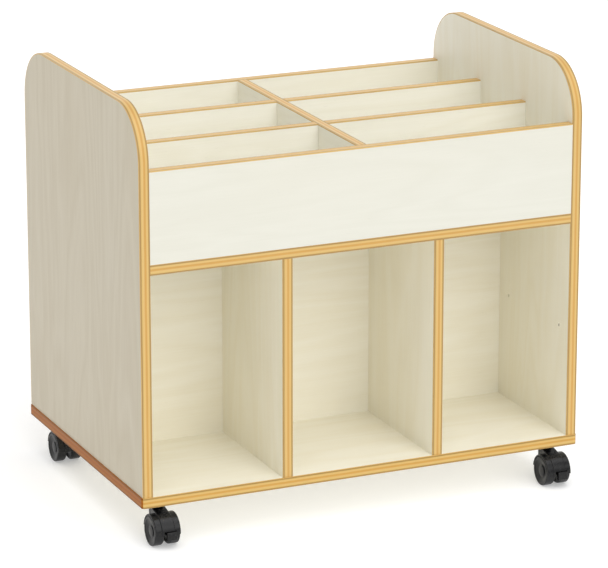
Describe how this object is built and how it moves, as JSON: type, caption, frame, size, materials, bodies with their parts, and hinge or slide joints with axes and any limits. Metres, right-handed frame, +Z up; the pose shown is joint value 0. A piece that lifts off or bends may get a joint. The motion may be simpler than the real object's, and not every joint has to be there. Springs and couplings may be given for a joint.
{
  "type": "book cart",
  "caption": "Rolling double-sided book cart with open-top bins in rows over open compartments, on twin-wheel casters.",
  "frame": {"origin": "on the floor under the middle of the whole cart", "axes": "+X to the right along the rows, -Y is the front, +Z up"},
  "size_m": [0.804, 0.5578, 0.739],
  "materials": {
    "maple_board": "pale maple melamine, satin",
    "ply_edging": "plywood-look edging, satin",
    "dowel_wood": "plain beech",
    "steel": "zinc plated",
    "hood_nylon": "black moulded nylon, semi-gloss",
    "wheel_nylon": "black moulded nylon, satin"
  },
  "bodies": {
    "cart": {"base_board": "maple_board", "base_edging": "ply_edging", "base_screws": "steel", "caster_front_left_pin": "steel", "caster_front_left_plate": "steel", "caster_front_right_pin": "steel", "caster_front_right_plate": "steel", "caster_rear_left_pin": "steel", "caster_rear_left_plate": "steel", "caster_rear_right_pin": "steel", "caster_rear_right_plate": "steel", "caster_screws": "steel", "centre_divider": "maple_board", "centre_divider_edging": "ply_edging", "front_panel": "maple_board", "front_panel_edging": "ply_edging", "left_side_edging": "ply_edging", "left_side_panel": "maple_board", "lower_back_panel": "maple_board", "lower_divider_front_left": "maple_board", "lower_divider_front_left_edging": "ply_edging", "lower_divider_front_right": "maple_board", "lower_divider_front_right_edging": "ply_edging", "lower_divider_rear_left": "maple_board", "lower_divider_rear_left_edging": "ply_edging", "lower_divider_rear_right": "maple_board", "lower_divider_rear_right_edging": "ply_edging", "middle_shelf": "maple_board", "rear_panel": "maple_board", "rear_panel_edging": "ply_edging", "right_side_edging": "ply_edging", "right_side_panel": "maple_board", "row_divider_front": "maple_board", "row_divider_front_edging": "ply_edging", "row_divider_rear": "maple_board", "row_divider_rear_edging": "ply_edging", "shelf_dowels": "dowel_wood", "shelf_front_edging": "ply_edging", "shelf_rear_edging": "ply_edging", "side_dowels": "dowel_wood"},
    "front_left_caster": {"caster_front_left_hood": "hood_nylon", "caster_front_left_axle": "steel"},
    "front_left_left_wheel": {"caster_front_left_left_wheel": "wheel_nylon"},
    "front_left_right_wheel": {"caster_front_left_right_wheel": "wheel_nylon"},
    "front_left_brake": {"caster_front_left_brake": "hood_nylon"},
    "front_right_caster": {"caster_front_right_hood": "hood_nylon", "caster_front_right_axle": "steel"},
    "front_right_left_wheel": {"caster_front_right_left_wheel": "wheel_nylon"},
    "front_right_right_wheel": {"caster_front_right_right_wheel": "wheel_nylon"},
    "front_right_brake": {"caster_front_right_brake": "hood_nylon"},
    "rear_left_caster": {"caster_rear_left_hood": "hood_nylon", "caster_rear_left_axle": "steel"},
    "rear_left_left_wheel": {"caster_rear_left_left_wheel": "wheel_nylon"},
    "rear_left_right_wheel": {"caster_rear_left_right_wheel": "wheel_nylon"},
    "rear_right_caster": {"caster_rear_right_hood": "hood_nylon", "caster_rear_right_axle": "steel"},
    "rear_right_left_wheel": {"caster_rear_right_left_wheel": "wheel_nylon"},
    "rear_right_right_wheel": {"caster_rear_right_right_wheel": "wheel_nylon"}
  },
  "joints": [
    {"name": "front_left_swivel", "type": "hinge", "parent": "cart", "child": "front_left_caster", "pos_m": [-0.362, -0.219, 0.06], "axis": [0, 0, 1], "continuous": true},
    {"name": "front_left_left_wheel_spin", "type": "hinge", "parent": "front_left_caster", "child": "front_left_left_wheel", "pos_m": [-0.3755, -0.245, 0.025], "axis": [1, 0, 0], "continuous": true},
    {"name": "front_left_right_wheel_spin", "type": "hinge", "parent": "front_left_caster", "child": "front_left_right_wheel", "pos_m": [-0.3485, -0.245, 0.025], "axis": [1, 0, 0], "continuous": true},
    {"name": "front_left_brake_press", "type": "hinge", "parent": "front_left_caster", "child": "front_left_brake", "pos_m": [-0.362, -0.2586, 0.0313], "axis": [1, 0, 0], "range_deg": [0, 8]},
    {"name": "front_right_swivel", "type": "hinge", "parent": "cart", "child": "front_right_caster", "pos_m": [0.362, -0.219, 0.06], "axis": [0, 0, 1], "continuous": true},
    {"name": "front_right_left_wheel_spin", "type": "hinge", "parent": "front_right_caster", "child": "front_right_left_wheel", "pos_m": [0.3485, -0.245, 0.025], "axis": [1, 0, 0], "continuous": true},
    {"name": "front_right_right_wheel_spin", "type": "hinge", "parent": "front_right_caster", "child": "front_right_right_wheel", "pos_m": [0.3755, -0.245, 0.025], "axis": [1, 0, 0], "continuous": true},
    {"name": "front_right_brake_press", "type": "hinge", "parent": "front_right_caster", "child": "front_right_brake", "pos_m": [0.362, -0.2586, 0.0313], "axis": [1, 0, 0], "range_deg": [0, 8]},
    {"name": "rear_left_swivel", "type": "hinge", "parent": "cart", "child": "rear_left_caster", "pos_m": [-0.362, 0.239, 0.06], "axis": [0, 0, 1], "continuous": true},
    {"name": "rear_left_left_wheel_spin", "type": "hinge", "parent": "rear_left_caster", "child": "rear_left_left_wheel", "pos_m": [-0.3755, 0.213, 0.025], "axis": [1, 0, 0], "continuous": true},
    {"name": "rear_left_right_wheel_spin", "type": "hinge", "parent": "rear_left_caster", "child": "rear_left_right_wheel", "pos_m": [-0.3485, 0.213, 0.025], "axis": [1, 0, 0], "continuous": true},
    {"name": "rear_right_swivel", "type": "hinge", "parent": "cart", "child": "rear_right_caster", "pos_m": [0.362, 0.239, 0.06], "axis": [0, 0, 1], "continuous": true},
    {"name": "rear_right_left_wheel_spin", "type": "hinge", "parent": "rear_right_caster", "child": "rear_right_left_wheel", "pos_m": [0.3485, 0.213, 0.025], "axis": [1, 0, 0], "continuous": true},
    {"name": "rear_right_right_wheel_spin", "type": "hinge", "parent": "rear_right_caster", "child": "rear_right_right_wheel", "pos_m": [0.3755, 0.213, 0.025], "axis": [1, 0, 0], "continuous": true}
  ]
}
